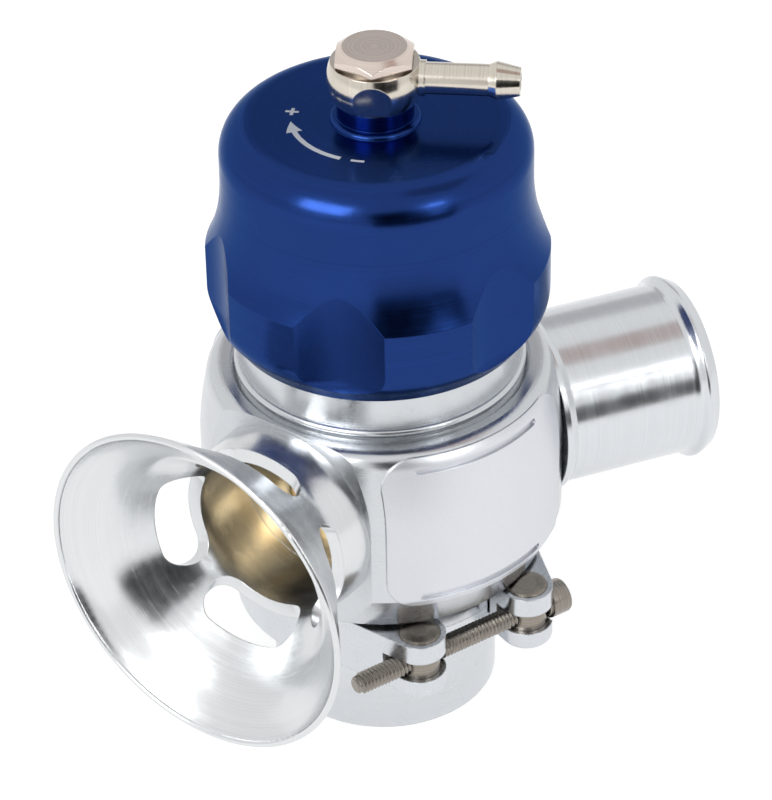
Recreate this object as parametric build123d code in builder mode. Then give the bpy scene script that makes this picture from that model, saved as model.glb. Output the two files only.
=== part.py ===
"""Twin port blow-off valve.

The frame stands on the centre of the weld end. Z runs up the bore of the valve and X runs along the
recirculation pipe. All lengths are millimetres and all angles are degrees.
"""

import os
from math import cos, radians, sin, sqrt, tan

from build123d import *

os.makedirs("parts", exist_ok=True)

# Weld flange, turned from bar, with a skirt that is welded to the charge pipe
weld_wall = 3.1
weld_height = 27.1
weld_chamfer = 0.7
rim_overhang = 4.4
rim_thickness = 1.8
rim_slope = 22.0
pilot_step = 1.2
pilot_length = 1.5
pilot_clearance = 0.05
flange_seal_step = 2.4
flange_seal_section = 1.6

# Body of the valve: its radius sets the neck, the bores and the weld flange through the steps below
body_radius = 34.9
body_foot = 7.1
body_foot_step = 3.5
body_foot_taper = 8.0
body_height = 40.3
body_top_step = 1.6
body_top_taper = 16.0
body_top_round = 3.0
neck_step = 8.0
neck_length = 25.5
neck_wall = 8.65
neck_chamfer = 0.6
seat_ledge = 1.75
seat_rise = 3.3
inlet_step = 2.5
clamp_neck_step = 2.5
port_offset = 0.75
bead_step = 0.9
bead_width = 1.8
bead_relief = 0.6
land_step = 1.7
pad_raise = 0.3
pad_angle = 286.1
pad_width = 41.8
pad_margin = 7.3
pad_corner = 6.0
pad_foot_margin = 6.45
groove_width = 1.3
groove_depth = 0.4
groove_length = 27.6
groove_angle = 283.0
groove_inset = 2.4
spigot_clearance = 0.03

# Trumpet that vents to the air
trumpet_angle = 212.2
trumpet_flat_step = 5.5
trumpet_length = 29.6
trumpet_bore_radius = 15.5
trumpet_spigot_wall = 2.3
trumpet_spigot_length = 6.0
trumpet_root_step = 1.0
trumpet_waist_step = 0.6
trumpet_waist = 8.6
trumpet_mouth_radius = 33.2
trumpet_flare_angle = 38.5
trumpet_bulge = 0.45
trumpet_wall = 2.6
trumpet_lip = 1.3
trumpet_seal_section = 1.2
slot_count = 4
slot_start = 7.6
slot_width = 8.4
slot_half_angle = 34.0

# Recirculation pipe with a hose bead
pipe_flat_step = 3.5
pipe_length = 32.66
pipe_radius = 17.0
pipe_wall = 2.0
pipe_port_step = 2.5
pipe_collar_step = 1.0
pipe_collar_length = 1.6
pipe_bead_step = 1.3
pipe_bead_start = 4.6
pipe_bead_crest = 2.5
pipe_end_step = 0.3
pipe_spigot_wall = 2.3
pipe_spigot_length = 8.0
pipe_seal_section = 1.5

# Piston, ring, spring and spring seat
piston_clearance = 0.05
piston_height = 34.5
piston_floor = 3.5
piston_wall = 2.3
piston_pilot_height = 3.0
ring_height = 2.0
ring_depth = 1.0
ring_drop = 4.0
ring_clearance = 0.02
spring_wire = 2.4
spring_gap = 2.8
spring_turns = 8
spring_pilot_clearance = 0.4
seat_clearance = 2.5
seat_thickness = 3.0
seat_pilot_height = 3.6

# Adjuster cap
cap_gap = 9.4
cap_height = 43.05
cap_clearance = 0.15
cap_foot_wall = 1.25
cap_bulge = 3.85
cap_foot_round = 7.6
cap_edge_height = 16.4
cap_shoulder_step = 3.32
cap_shoulder_round = 6.5
cap_straight = 4.55
cap_thread_spare = 4.5
cap_cavity_step = 2.55
cap_roof = 6.45
scallop_count = 6
scallop_angle = 235.0
scallop_radius = 29.4
scallop_depth = 2.35
scallop_rise = 1.0
scallop_fillet = 4.0
boss_radius = 7.1
boss_height = 4.05
boss_bead_step = 1.35
boss_bead_height = 0.9
cap_seal_section = 1.5
cap_seal_drop = 3.6

# Banjo fitting, bolt and washers
washer_inset = 0.1
washer_thickness = 0.45
ball_radius = 8.77
ball_height = 7.45
ball_centre = 4.05
bolt_radius = 4.0
bolt_clearance = 0.05
bolt_reach = 12.5
bolt_bore_radius = 1.5
bolt_flats = 13.9
bolt_head_height = 2.4
bolt_head_angle = 4.3
bolt_face_step = 1.05
bolt_chamfer_height = 1.6
ball_groove_depth = 1.55
ball_groove_height = 3.6
stem_angle = -27.5
stem_radius = 3.0
stem_wall = 1.4
stem_collar_step = 0.35
stem_collar_length = 0.43
stem_length = 26.3
barb_length = 5.7
barb_taper = 4.3
barb_step = 0.6
barb_tip_step = 0.4
facet_depth = 0.77
facet_turn = -88.0
facet_tilt = -9.0

# V-band clamp
clamp_angle = -78.0
band_wall = 2.7
band_height = 12.4
band_lip = 2.1
band_clearance = 0.15
band_round = 0.6
band_end = 7.4
ear_overhang = 1.65
ear_side = 12.53
ear_wall = 1.1
ear_round = 1.2
ear_flank_angle = 50.6
hinge_overhang = 2.8
hinge_knuckle_radius = 3.2
hinge_pin_radius = 1.6
hinge_gap = 0.15
hinge_web = 7.0
hinge_web_root = 2.5
rear_end = 1.5
trunnion_radius = 3.95
trunnion_length = 12.8
trunnion_dome = 0.3
clamp_running = 0.05
screw_radius = 2.1
screw_slot_depth = 2.85
screw_tip = 27.3
screw_head_radius = 3.45
screw_head_length = 4.2
screw_head_gap = 0.75
screw_face_step = 0.8
screw_flat = 3.72
screw_socket_flats = 3.0
screw_socket_depth = 2.4

# Radii that follow from the sizes above
neck_radius = body_radius - neck_step
main_bore_radius = neck_radius - neck_wall
inlet_bore_radius = main_bore_radius - seat_ledge
weld_bore_radius = inlet_bore_radius + inlet_step
weld_radius = weld_bore_radius + weld_wall
rim_radius = weld_radius + rim_overhang
clamp_neck_radius = rim_radius - clamp_neck_step
pilot_radius = weld_bore_radius + pilot_step
flange_seal_radius = pilot_radius + flange_seal_step
body_foot_radius = body_radius - body_foot_step
body_top_radius = body_radius - body_top_step
bead_radius = neck_radius + bead_step
top_land = neck_radius + land_step
trumpet_flat = body_radius - trumpet_flat_step
trumpet_spigot_radius = trumpet_bore_radius + trumpet_spigot_wall
trumpet_root_radius = trumpet_spigot_radius + trumpet_root_step
trumpet_waist_radius = trumpet_spigot_radius + trumpet_waist_step
pipe_flat = body_radius - pipe_flat_step
pipe_bore_radius = pipe_radius - pipe_wall
port_bore_radius = pipe_bore_radius - pipe_port_step
pipe_spigot_radius = port_bore_radius + pipe_spigot_wall
pipe_collar_radius = pipe_radius + pipe_collar_step
pipe_bead_radius = pipe_radius + pipe_bead_step
pipe_end_radius = pipe_radius + pipe_end_step
piston_radius = main_bore_radius - piston_clearance
spring_radius = piston_radius - piston_wall - spring_gap - spring_wire / 2
piston_pilot_radius = spring_radius - spring_wire / 2 - spring_pilot_clearance
neck_bore_radius = neck_radius + cap_clearance
cap_foot_radius = neck_bore_radius + cap_foot_wall
cap_radius = cap_foot_radius + cap_bulge
cap_shoulder_radius = cap_radius - cap_shoulder_step
cap_cavity_radius = neck_bore_radius - cap_cavity_step
seat_radius = cap_cavity_radius - seat_clearance
scallop_floor = cap_radius - scallop_depth
boss_bead_radius = boss_radius + boss_bead_step
washer_radius = boss_radius - washer_inset
shank_hole_radius = bolt_radius + bolt_clearance
bolt_corner_radius = bolt_flats / 2 / cos(radians(30))
bolt_chamfer_radius = bolt_flats / 2 - bolt_face_step
ball_groove_radius = shank_hole_radius + ball_groove_depth
stem_bore_radius = stem_radius - stem_wall
stem_collar_radius = stem_radius + stem_collar_step
stem_collar_end = ball_radius + stem_collar_length
barb_start = stem_length - barb_length
barb_crest = stem_length - barb_taper
barb_radius = stem_radius + barb_step
barb_tip_radius = stem_radius - barb_tip_step
facet_distance = ball_radius - facet_depth
band_radius = rim_radius + band_wall
band_lip_radius = rim_radius - band_lip
ear_distance = band_radius + ear_overhang
ear_radius = trunnion_radius + ear_wall
hinge_distance = band_radius + hinge_overhang
screw_face_radius = screw_radius + screw_face_step
screw_head_start = ear_side + screw_flat + screw_head_gap

# Levels that follow from the sizes above
joint_z = weld_height
foot_z = joint_z + body_foot
seat_z = foot_z + seat_rise
port_z = foot_z + body_height / 2 + port_offset
top_z = foot_z + body_height
neck_z = top_z + neck_length
cap_z = top_z + cap_gap
cap_edge_z = cap_z + cap_edge_height
thread_z = neck_z + cap_thread_spare
cap_top_z = cap_z + cap_height
cap_roof_z = cap_top_z - cap_roof
boss_z = cap_top_z + boss_height
ball_z = boss_z + washer_thickness
ball_mid_z = ball_z + ball_centre
ball_top_z = ball_z + ball_height
bolt_head_z = ball_top_z + washer_thickness
clamp_z = joint_z - band_height / 2
rim_rise = clamp_neck_step * tan(radians(rim_slope))
pad_height = body_height - pad_margin
pad_z = foot_z + pad_foot_margin
spring_low_z = seat_z + piston_floor
spring_high_z = cap_roof_z - seat_thickness
screw_z = joint_z


def direction(angle):
    """Unit vector in the horizontal plane."""
    return Vector(cos(radians(angle)), sin(radians(angle)), 0)


def axial_plane(angle, height):
    """Plane through a horizontal axis: local x runs out along the axis and local y runs up."""
    out = direction(angle)
    return Plane(origin=(0, 0, height), x_dir=out, z_dir=out.cross(Vector(0, 0, 1)))


def facing_plane(angle, distance, height):
    """Vertical plane that faces outwards at a distance from the bore axis, with local y up."""
    out = direction(angle)
    spot = out * distance + Vector(0, 0, height)
    return Plane(origin=spot, x_dir=direction(angle + 90), z_dir=out)


def horizontal_axis(angle, height):
    """Axis that runs out from the bore axis at a height."""
    return Axis((0, 0, height), direction(angle))


def clamp_plane(height):
    """Plan of the clamp: local x runs to its opening and local y to its right half."""
    return Plane(origin=(0, 0, height), x_dir=direction(clamp_angle), z_dir=(0, 0, 1))


def finish(builder, name):
    """Labels a piece and writes it."""
    builder.part.label = name
    export_step(builder.part, f"parts/{name}.step")


def o_ring(name, plane, axis, centre, section):
    """Round section ring in its groove: centre gives its place in the plane."""
    with BuildPart() as ring:
        with BuildSketch(plane):
            with Locations(centre):
                Circle(section / 2)
        revolve(axis=axis)
    finish(ring, name)


# Weld flange: skirt, V-flange, pilot recess and seal groove
with BuildPart() as weld_flange:
    with BuildSketch(Plane.XZ):
        with BuildLine():
            rim_low = joint_z - rim_thickness
            skirt_top = rim_low - (rim_radius - weld_radius) * tan(radians(rim_slope))
            recess_radius = pilot_radius + pilot_clearance
            recess_z = joint_z - pilot_length - pilot_clearance
            groove_in = flange_seal_radius - flange_seal_section / 2
            groove_out = flange_seal_radius + flange_seal_section / 2
            groove_z = joint_z - flange_seal_section
            Polyline(
                (weld_bore_radius, 0),
                (weld_radius - weld_chamfer, 0),
                (weld_radius, weld_chamfer),
                (weld_radius, skirt_top),
                (rim_radius, rim_low),
                (rim_radius, joint_z),
                (groove_out, joint_z),
                (groove_out, groove_z),
                (groove_in, groove_z),
                (groove_in, joint_z),
                (recess_radius, joint_z),
                (recess_radius, recess_z),
                (weld_bore_radius, recess_z),
                close=True,
            )
        make_face()
    revolve(axis=Axis.Z)
finish(weld_flange, "weld_flange")

flange_seal_z = joint_z - flange_seal_section / 2
o_ring("flange_o_ring", Plane.XZ, Axis.Z, (flange_seal_radius, flange_seal_z), flange_seal_section)

# Outline of the body above the clamp, used for the body and, a little larger, for its pad
body_line_start = foot_z + body_foot_taper
body_line_end = top_z - body_top_taper


def body_outline(raise_by):
    """Closed half section of the body between its foot and its top."""
    shoulder_z = top_z - body_top_round
    with BuildSketch(Plane.XZ) as outline:
        with BuildLine():
            foot = (body_foot_radius + raise_by, foot_z)
            waist = (body_radius + raise_by, body_line_start)
            belt = (body_radius + raise_by, body_line_end)
            shoulder = (body_top_radius + raise_by, shoulder_z)
            crown = (body_top_radius + raise_by - body_top_round, top_z)
            Polyline((0, foot_z), foot, waist, belt)
            Spline(belt, shoulder, tangents=((0, 1), (-0.18, 1)))
            Spline(shoulder, crown, tangents=((-0.18, 1), (-1, 0.1)))
            Polyline(crown, (0, top_z), (0, foot_z))
        make_face()
    return outline.sketch


with BuildPart() as pad_core:
    add(body_outline(-groove_depth))
    revolve(axis=Axis.Z)

with BuildPart() as pad_grooves:
    low_groove_z = pad_z + groove_inset
    high_groove_z = pad_z + pad_height - groove_inset
    for groove_level in (low_groove_z, high_groove_z):
        with BuildSketch(facing_plane(groove_angle, 0, groove_level)):
            SlotOverall(groove_length, groove_width)
        extrude(amount=body_radius * 1.2)
    add(pad_core.part, mode=Mode.SUBTRACT)

with BuildPart() as pad:
    with BuildSketch(facing_plane(pad_angle, 0, pad_z + pad_height / 2)):
        RectangleRounded(pad_width, pad_height, pad_corner)
    extrude(amount=body_radius * 1.2)
    add(body_outline(pad_raise))
    revolve(axis=Axis.Z, mode=Mode.INTERSECT)

# Body of the valve
with BuildPart() as housing:
    add(body_outline(0))
    revolve(axis=Axis.Z)
    with BuildSketch(Plane.XZ):
        with BuildLine():
            rim_top = joint_z + rim_thickness
            Polyline(
                (0, joint_z - pilot_length),
                (pilot_radius, joint_z - pilot_length),
                (pilot_radius, joint_z),
                (rim_radius, joint_z),
                (rim_radius, rim_top),
                (clamp_neck_radius, rim_top + rim_rise),
                (clamp_neck_radius, foot_z),
                (0, foot_z),
                close=True,
            )
        make_face()
    revolve(axis=Axis.Z)
    for turn in (0, 180):
        add(pad.part.rotate(Axis.Z, turn))
        add(pad_grooves.part.rotate(Axis.Z, turn), mode=Mode.SUBTRACT)
    # Neck with a rounded bead above a narrow relief
    bead_low = top_z + bead_relief / 2
    bead_high = bead_low + bead_width
    relief_z = top_z - bead_relief
    with BuildSketch(Plane.XZ):
        with BuildLine():
            Polyline(
                (neck_radius, bead_high),
                (neck_radius, neck_z - neck_chamfer),
                (neck_radius - neck_chamfer, neck_z),
                (0, neck_z),
                (0, relief_z),
                (neck_radius, relief_z),
                (neck_radius, bead_low),
            )
            ThreePointArc(
                (neck_radius, bead_low),
                (bead_radius, bead_low + bead_width / 2),
                (neck_radius, bead_high),
            )
        make_face()
    revolve(axis=Axis.Z)
    with BuildSketch(Plane.XZ):
        with BuildLine():
            Polyline((neck_radius, relief_z), (neck_radius, top_z), (top_land, top_z), close=True)
        make_face()
    revolve(axis=Axis.Z, mode=Mode.SUBTRACT)
    # Seal groove near the top of the neck
    with BuildSketch(Plane.XZ):
        with Locations((neck_radius, neck_z - cap_seal_drop)):
            Rectangle(2 * (cap_seal_section - cap_clearance), cap_seal_section * 1.2)
    revolve(axis=Axis.Z, mode=Mode.SUBTRACT)
    # Inlet bore, seat ledge and main bore
    with BuildSketch(Plane.XY.offset(joint_z - pilot_length)):
        Circle(inlet_bore_radius)
    extrude(amount=seat_z - joint_z + pilot_length, mode=Mode.SUBTRACT)
    with BuildSketch(Plane.XY.offset(seat_z)):
        Circle(main_bore_radius)
    extrude(amount=neck_z - seat_z, mode=Mode.SUBTRACT)
    # Port faces, recesses for the spigots and ports into the main bore
    for angle, flat, recess, depth, port in (
        (trumpet_angle, trumpet_flat, trumpet_spigot_radius, trumpet_spigot_length, trumpet_bore_radius),
        (0, pipe_flat, pipe_spigot_radius, pipe_spigot_length, port_bore_radius),
    ):
        with BuildSketch(facing_plane(angle, flat, port_z)):
            Rectangle(4 * body_radius, 1.2 * body_height)
        extrude(amount=body_radius, mode=Mode.SUBTRACT)
        with BuildSketch(facing_plane(angle, flat, port_z)):
            Circle(recess + spigot_clearance)
        extrude(amount=-depth, mode=Mode.SUBTRACT)
        with BuildSketch(facing_plane(angle, flat, port_z)):
            Circle(port)
        extrude(amount=-flat, mode=Mode.SUBTRACT)
finish(housing, "housing")

cap_seal_radius = neck_radius + cap_clearance - cap_seal_section / 2
cap_seal_spot = (cap_seal_radius, neck_z - cap_seal_drop)
o_ring("cap_o_ring", Plane.XZ, Axis.Z, cap_seal_spot, cap_seal_section)

# Trumpet: spigot, root, waist, flare with a rounded lip, and slots in the throat
mouth_at = trumpet_flat + trumpet_length
waist_at = trumpet_flat + trumpet_waist
flare_at = trumpet_flat + slot_start + slot_width
flare_slope = tan(radians(trumpet_flare_angle))
flare_radius = trumpet_mouth_radius - (mouth_at - flare_at) * flare_slope + trumpet_bulge
flare_mid = (flare_at + mouth_at) / 2
flare_mid_radius = trumpet_mouth_radius - (mouth_at - flare_mid) * flare_slope + trumpet_bulge
lip_round = trumpet_lip / 2
wall_slide = trumpet_wall * sin(radians(trumpet_flare_angle))
wall_drop = trumpet_wall * cos(radians(trumpet_flare_angle))
trumpet_seal_at = trumpet_flat - trumpet_spigot_length / 2
trumpet_plane = axial_plane(trumpet_angle, port_z)
trumpet_axis = horizontal_axis(trumpet_angle, port_z)

with BuildPart() as trumpet:
    with BuildSketch(trumpet_plane):
        with BuildLine():
            spigot_at = trumpet_flat - trumpet_spigot_length
            groove_floor = trumpet_spigot_radius + spigot_clearance - trumpet_seal_section
            groove_half = trumpet_seal_section * 0.6
            root = (trumpet_flat, trumpet_root_radius)
            throat = (trumpet_flat, trumpet_bore_radius)
            lip_outer = (mouth_at - lip_round, trumpet_mouth_radius)
            lip_inner = (mouth_at - lip_round, trumpet_mouth_radius - trumpet_lip)
            Spline(
                root,
                (waist_at, trumpet_waist_radius),
                (flare_at, flare_radius),
                (flare_mid, flare_mid_radius),
                lip_outer,
                tangents=((1, 0.12), (1, flare_slope * 0.9)),
            )
            ThreePointArc(lip_outer, (mouth_at, trumpet_mouth_radius - lip_round), lip_inner)
            Spline(
                lip_inner,
                (flare_mid + wall_slide, flare_mid_radius - wall_drop),
                (flare_at + wall_slide, flare_radius - wall_drop),
                (waist_at + wall_slide / 2, trumpet_waist_radius - trumpet_wall),
                throat,
                tangents=((-1, -flare_slope * 0.9), (-1, 0)),
            )
            Polyline(
                throat,
                (spigot_at, trumpet_bore_radius),
                (spigot_at, trumpet_spigot_radius),
                (trumpet_seal_at - groove_half, trumpet_spigot_radius),
                (trumpet_seal_at - groove_half, groove_floor),
                (trumpet_seal_at + groove_half, groove_floor),
                (trumpet_seal_at + groove_half, trumpet_spigot_radius),
                (trumpet_flat, trumpet_spigot_radius),
                root,
            )
        make_face()
    revolve(axis=trumpet_axis)
    slot_mid = trumpet_flat + slot_start + slot_width / 2
    slot_mid_radius = (trumpet_waist_radius + flare_radius) / 2
    slot_end_angle = slot_half_angle - slot_width / 2 / radians(slot_mid_radius)
    out = direction(trumpet_angle)
    side = direction(trumpet_angle + 90)
    up = Vector(0, 0, 1)
    for index in range(slot_count):
        middle = 360 / slot_count * index
        turn = radians(middle + slot_end_angle)
        radial = up * cos(turn) + side * sin(turn)
        with BuildSketch(Plane(origin=(0, 0, port_z), x_dir=out, z_dir=out.cross(radial))):
            with Locations((slot_mid, slot_mid_radius)):
                Rectangle(slot_width, slot_mid_radius)
        revolve(axis=trumpet_axis, revolution_arc=2 * slot_end_angle, mode=Mode.SUBTRACT)
        for end in (-1, 1):
            turn = radians(middle + end * slot_end_angle)
            radial = up * cos(turn) + side * sin(turn)
            spot = out * slot_mid + up * port_z + radial * (slot_mid_radius / 2)
            with BuildSketch(Plane(origin=spot, x_dir=out, z_dir=radial)):
                Circle(slot_width / 2)
            extrude(amount=slot_mid_radius, mode=Mode.SUBTRACT)
finish(trumpet, "trumpet")

trumpet_seal_radius = trumpet_spigot_radius + spigot_clearance - trumpet_seal_section / 2
trumpet_seal_spot = (trumpet_seal_at, trumpet_seal_radius)
o_ring("trumpet_o_ring", trumpet_plane, trumpet_axis, trumpet_seal_spot, trumpet_seal_section)

# Recirculation pipe: spigot, collar, tube and hose bead
pipe_plane = axial_plane(0, port_z)
pipe_axis = horizontal_axis(0, port_z)
pipe_end = pipe_flat + pipe_length
pipe_seal_at = pipe_flat - pipe_spigot_length / 2

with BuildPart() as recirculation_pipe:
    with BuildSketch(pipe_plane):
        with BuildLine():
            spigot_at = pipe_flat - pipe_spigot_length
            groove_floor = pipe_spigot_radius + spigot_clearance - pipe_seal_section
            groove_half = pipe_seal_section * 0.6
            collar_at = pipe_flat + pipe_collar_length
            collar_round = pipe_collar_radius - pipe_radius
            bead_from = pipe_end - pipe_bead_start
            bead_crest = pipe_end - pipe_bead_crest
            bore_step = pipe_flat + pipe_bore_radius - port_bore_radius
            Polyline(
                (spigot_at, port_bore_radius),
                (spigot_at, pipe_spigot_radius),
                (pipe_seal_at - groove_half, pipe_spigot_radius),
                (pipe_seal_at - groove_half, groove_floor),
                (pipe_seal_at + groove_half, groove_floor),
                (pipe_seal_at + groove_half, pipe_spigot_radius),
                (pipe_flat, pipe_spigot_radius),
                (pipe_flat, pipe_collar_radius),
                (collar_at - collar_round / 2, pipe_collar_radius),
                (collar_at + collar_round, pipe_radius),
                (bead_from, pipe_radius),
            )
            Spline(
                (bead_from, pipe_radius),
                (bead_crest, pipe_bead_radius),
                (pipe_end, pipe_end_radius),
                tangents=((1, 0.1), (1, -0.45)),
            )
            Polyline(
                (pipe_end, pipe_end_radius),
                (pipe_end, pipe_bore_radius),
                (bore_step, pipe_bore_radius),
                (pipe_flat, port_bore_radius),
                (spigot_at, port_bore_radius),
            )
        make_face()
    revolve(axis=pipe_axis)
finish(recirculation_pipe, "recirculation_pipe")

pipe_seal_radius = pipe_spigot_radius + spigot_clearance - pipe_seal_section / 2
pipe_seal_spot = (pipe_seal_at, pipe_seal_radius)
o_ring("recirculation_o_ring", pipe_plane, pipe_axis, pipe_seal_spot, pipe_seal_section)

# Piston cup with its ring
piston_top = seat_z + piston_height
ring_top = piston_top - ring_drop
ring_low = ring_top - ring_height
ring_floor = piston_radius - ring_depth

with BuildPart() as piston:
    with BuildSketch(Plane.XZ):
        with BuildLine():
            pilot_z = spring_low_z + piston_pilot_height
            Polyline(
                (0, seat_z),
                (piston_radius - piston_floor / 4, seat_z),
                (piston_radius, seat_z + piston_floor / 4),
                (piston_radius, ring_low),
                (ring_floor, ring_low),
                (ring_floor, ring_top),
                (piston_radius, ring_top),
                (piston_radius, piston_top),
                (piston_radius - piston_wall, piston_top),
                (piston_radius - piston_wall, spring_low_z),
                (piston_pilot_radius, spring_low_z),
                (piston_pilot_radius, pilot_z),
                (piston_pilot_radius - piston_wall, pilot_z),
                (piston_pilot_radius - piston_wall, spring_low_z),
                (0, spring_low_z),
                close=True,
            )
        make_face()
    revolve(axis=Axis.Z)
finish(piston, "piston")

with BuildPart() as piston_ring:
    with BuildSketch(Plane.XY.offset(ring_low + ring_clearance)):
        Circle(main_bore_radius - ring_clearance)
        Circle(ring_floor + ring_clearance, mode=Mode.SUBTRACT)
    extrude(amount=ring_height - 2 * ring_clearance)
finish(piston_ring, "piston_ring")

with BuildPart() as spring_seat:
    with BuildSketch(Plane.XY.offset(spring_high_z)):
        Circle(seat_radius)
    extrude(amount=seat_thickness)
    with BuildSketch(Plane.XY.offset(spring_high_z)):
        Circle(piston_pilot_radius)
    extrude(amount=-seat_pilot_height)
    with BuildSketch(Plane.XY.offset(spring_high_z - seat_pilot_height)):
        Circle(shank_hole_radius + cap_clearance)
    extrude(amount=seat_pilot_height + seat_thickness, mode=Mode.SUBTRACT)
finish(spring_seat, "spring_seat")

with BuildPart() as main_spring:
    spring_height = spring_high_z - spring_low_z - spring_wire
    with BuildLine(Plane.XY.offset(spring_low_z + spring_wire / 2)) as coil:
        Helix(pitch=spring_height / spring_turns, height=spring_height, radius=spring_radius)
    with BuildSketch(Plane(origin=coil.line @ 0, z_dir=coil.line % 0)):
        Circle(spring_wire / 2)
    sweep()
finish(main_spring, "main_spring")

# Adjuster cap
with BuildPart() as scallop:
    with BuildSketch(Plane.XY.offset(cap_z + scallop_rise)):
        with Locations((scallop_floor + scallop_radius, 0)):
            Circle(scallop_radius)
    extrude(amount=cap_height)
    fillet(scallop.edges().sort_by(Axis.Z)[0], radius=scallop_fillet)

with BuildPart() as cap:
    with BuildSketch(Plane.XZ):
        with BuildLine():
            foot = (cap_foot_radius, cap_z)
            side_low = (cap_radius, cap_z + cap_foot_round)
            side_high = (cap_radius, cap_edge_z)
            flare_top = (cap_shoulder_radius, cap_top_z - cap_shoulder_round - cap_straight)
            shoulder_low = (cap_shoulder_radius, cap_top_z - cap_shoulder_round)
            shoulder_high = (cap_shoulder_radius - cap_shoulder_round, cap_top_z)
            bead_line = cap_top_z + boss_bead_height
            Spline(foot, side_low, tangents=((0.55, 1), (0, 1)))
            Line(side_low, side_high)
            Spline(side_high, flare_top, tangents=((-0.5, 1), (0, 1)))
            Line(flare_top, shoulder_low)
            RadiusArc(shoulder_low, shoulder_high, -cap_shoulder_round)
            Line(shoulder_high, (boss_bead_radius, cap_top_z))
            Spline(
                (boss_bead_radius, cap_top_z),
                (boss_radius, bead_line),
                tangents=((0, 1), (-1, 0)),
            )
            Polyline(
                (boss_radius, bead_line),
                (boss_radius, boss_z),
                (shank_hole_radius, boss_z),
                (shank_hole_radius, cap_roof_z),
                (cap_cavity_radius, cap_roof_z),
                (cap_cavity_radius, thread_z),
                (neck_bore_radius, thread_z),
                (neck_bore_radius, cap_z),
                foot,
            )
        make_face()
    revolve(axis=Axis.Z)
    with PolarLocations(0, scallop_count, start_angle=scallop_angle):
        add(scallop.part, mode=Mode.SUBTRACT)
finish(cap, "cap")

# Banjo washers, fitting and bolt
for washer_name, washer_z in (("banjo_lower_seal", boss_z), ("banjo_upper_seal", ball_top_z)):
    with BuildPart() as washer:
        with BuildSketch(Plane.XY.offset(washer_z)):
            Circle(washer_radius)
            Circle(shank_hole_radius, mode=Mode.SUBTRACT)
        extrude(amount=washer_thickness)
    finish(washer, washer_name)

stem_plane = axial_plane(stem_angle, ball_mid_z)
stem_axis = horizontal_axis(stem_angle, ball_mid_z)

with BuildPart() as banjo_fitting:
    with BuildSketch(Plane.XZ):
        with BuildLine():
            low_radius = sqrt(ball_radius**2 - ball_centre**2)
            high_radius = sqrt(ball_radius**2 - (ball_height - ball_centre) ** 2)
            groove_low = ball_mid_z - ball_groove_height / 2
            groove_high = ball_mid_z + ball_groove_height / 2
            Polyline(
                (low_radius, ball_z),
                (shank_hole_radius, ball_z),
                (shank_hole_radius, groove_low),
                (ball_groove_radius, groove_low),
                (ball_groove_radius, groove_high),
                (shank_hole_radius, groove_high),
                (shank_hole_radius, ball_top_z),
                (high_radius, ball_top_z),
            )
            ThreePointArc((high_radius, ball_top_z), (ball_radius, ball_mid_z), (low_radius, ball_z))
        make_face()
    revolve(axis=Axis.Z)
    with BuildSketch(stem_plane):
        with BuildLine():
            collar_from = ball_groove_radius + stem_collar_step
            Polyline(
                (collar_from, 0),
                (collar_from, stem_collar_radius),
                (stem_collar_end, stem_collar_radius),
                (stem_collar_end, stem_radius),
                (barb_start, stem_radius),
                (barb_crest, barb_radius),
                (stem_length, barb_tip_radius),
                (stem_length, 0),
                close=True,
            )
        make_face()
    revolve(axis=stem_axis)
    facet_level = direction(stem_angle + facet_turn) * cos(radians(facet_tilt))
    facet_out = facet_level + Vector(0, 0, sin(radians(facet_tilt)))
    facet_spot = facet_out * facet_distance + Vector(0, 0, ball_mid_z)
    with BuildSketch(Plane(origin=facet_spot, z_dir=facet_out)):
        Circle(ball_radius)
    extrude(amount=ball_radius / 2, mode=Mode.SUBTRACT)
    with BuildSketch(facing_plane(stem_angle, bolt_radius, ball_mid_z)):
        Circle(stem_bore_radius)
    extrude(amount=stem_length, mode=Mode.SUBTRACT)
finish(banjo_fitting, "banjo_fitting")

with BuildPart() as banjo_bolt:
    head_top = bolt_head_z + bolt_head_height
    shank_low = boss_z - bolt_reach
    with BuildSketch(Plane.XY.offset(bolt_head_z)):
        RegularPolygon(bolt_flats / 2, 6, major_radius=False, rotation=bolt_head_angle)
    extrude(amount=bolt_head_height)
    with BuildSketch(Plane.XZ):
        with BuildLine():
            Polyline(
                (0, bolt_head_z),
                (bolt_flats, bolt_head_z),
                (bolt_corner_radius, head_top - bolt_chamfer_height),
                (bolt_chamfer_radius, head_top),
                (0, head_top),
                close=True,
            )
        make_face()
    revolve(axis=Axis.Z, mode=Mode.INTERSECT)
    with BuildSketch(Plane.XY.offset(shank_low)):
        Circle(bolt_radius)
    extrude(amount=bolt_head_z - shank_low)
    with BuildSketch(Plane.XY.offset(shank_low)):
        Circle(bolt_bore_radius)
    extrude(amount=ball_mid_z + bolt_bore_radius - shank_low, mode=Mode.SUBTRACT)
    with BuildSketch(facing_plane(stem_angle, -ball_radius, ball_mid_z)):
        Circle(bolt_bore_radius * 0.8)
    extrude(amount=2 * ball_radius, mode=Mode.SUBTRACT)
finish(banjo_bolt, "banjo_bolt")

# V-band clamp: two halves on a hinge pin, drawn together by a screw through two trunnions
screw_slot_half = screw_radius + clamp_running


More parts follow.
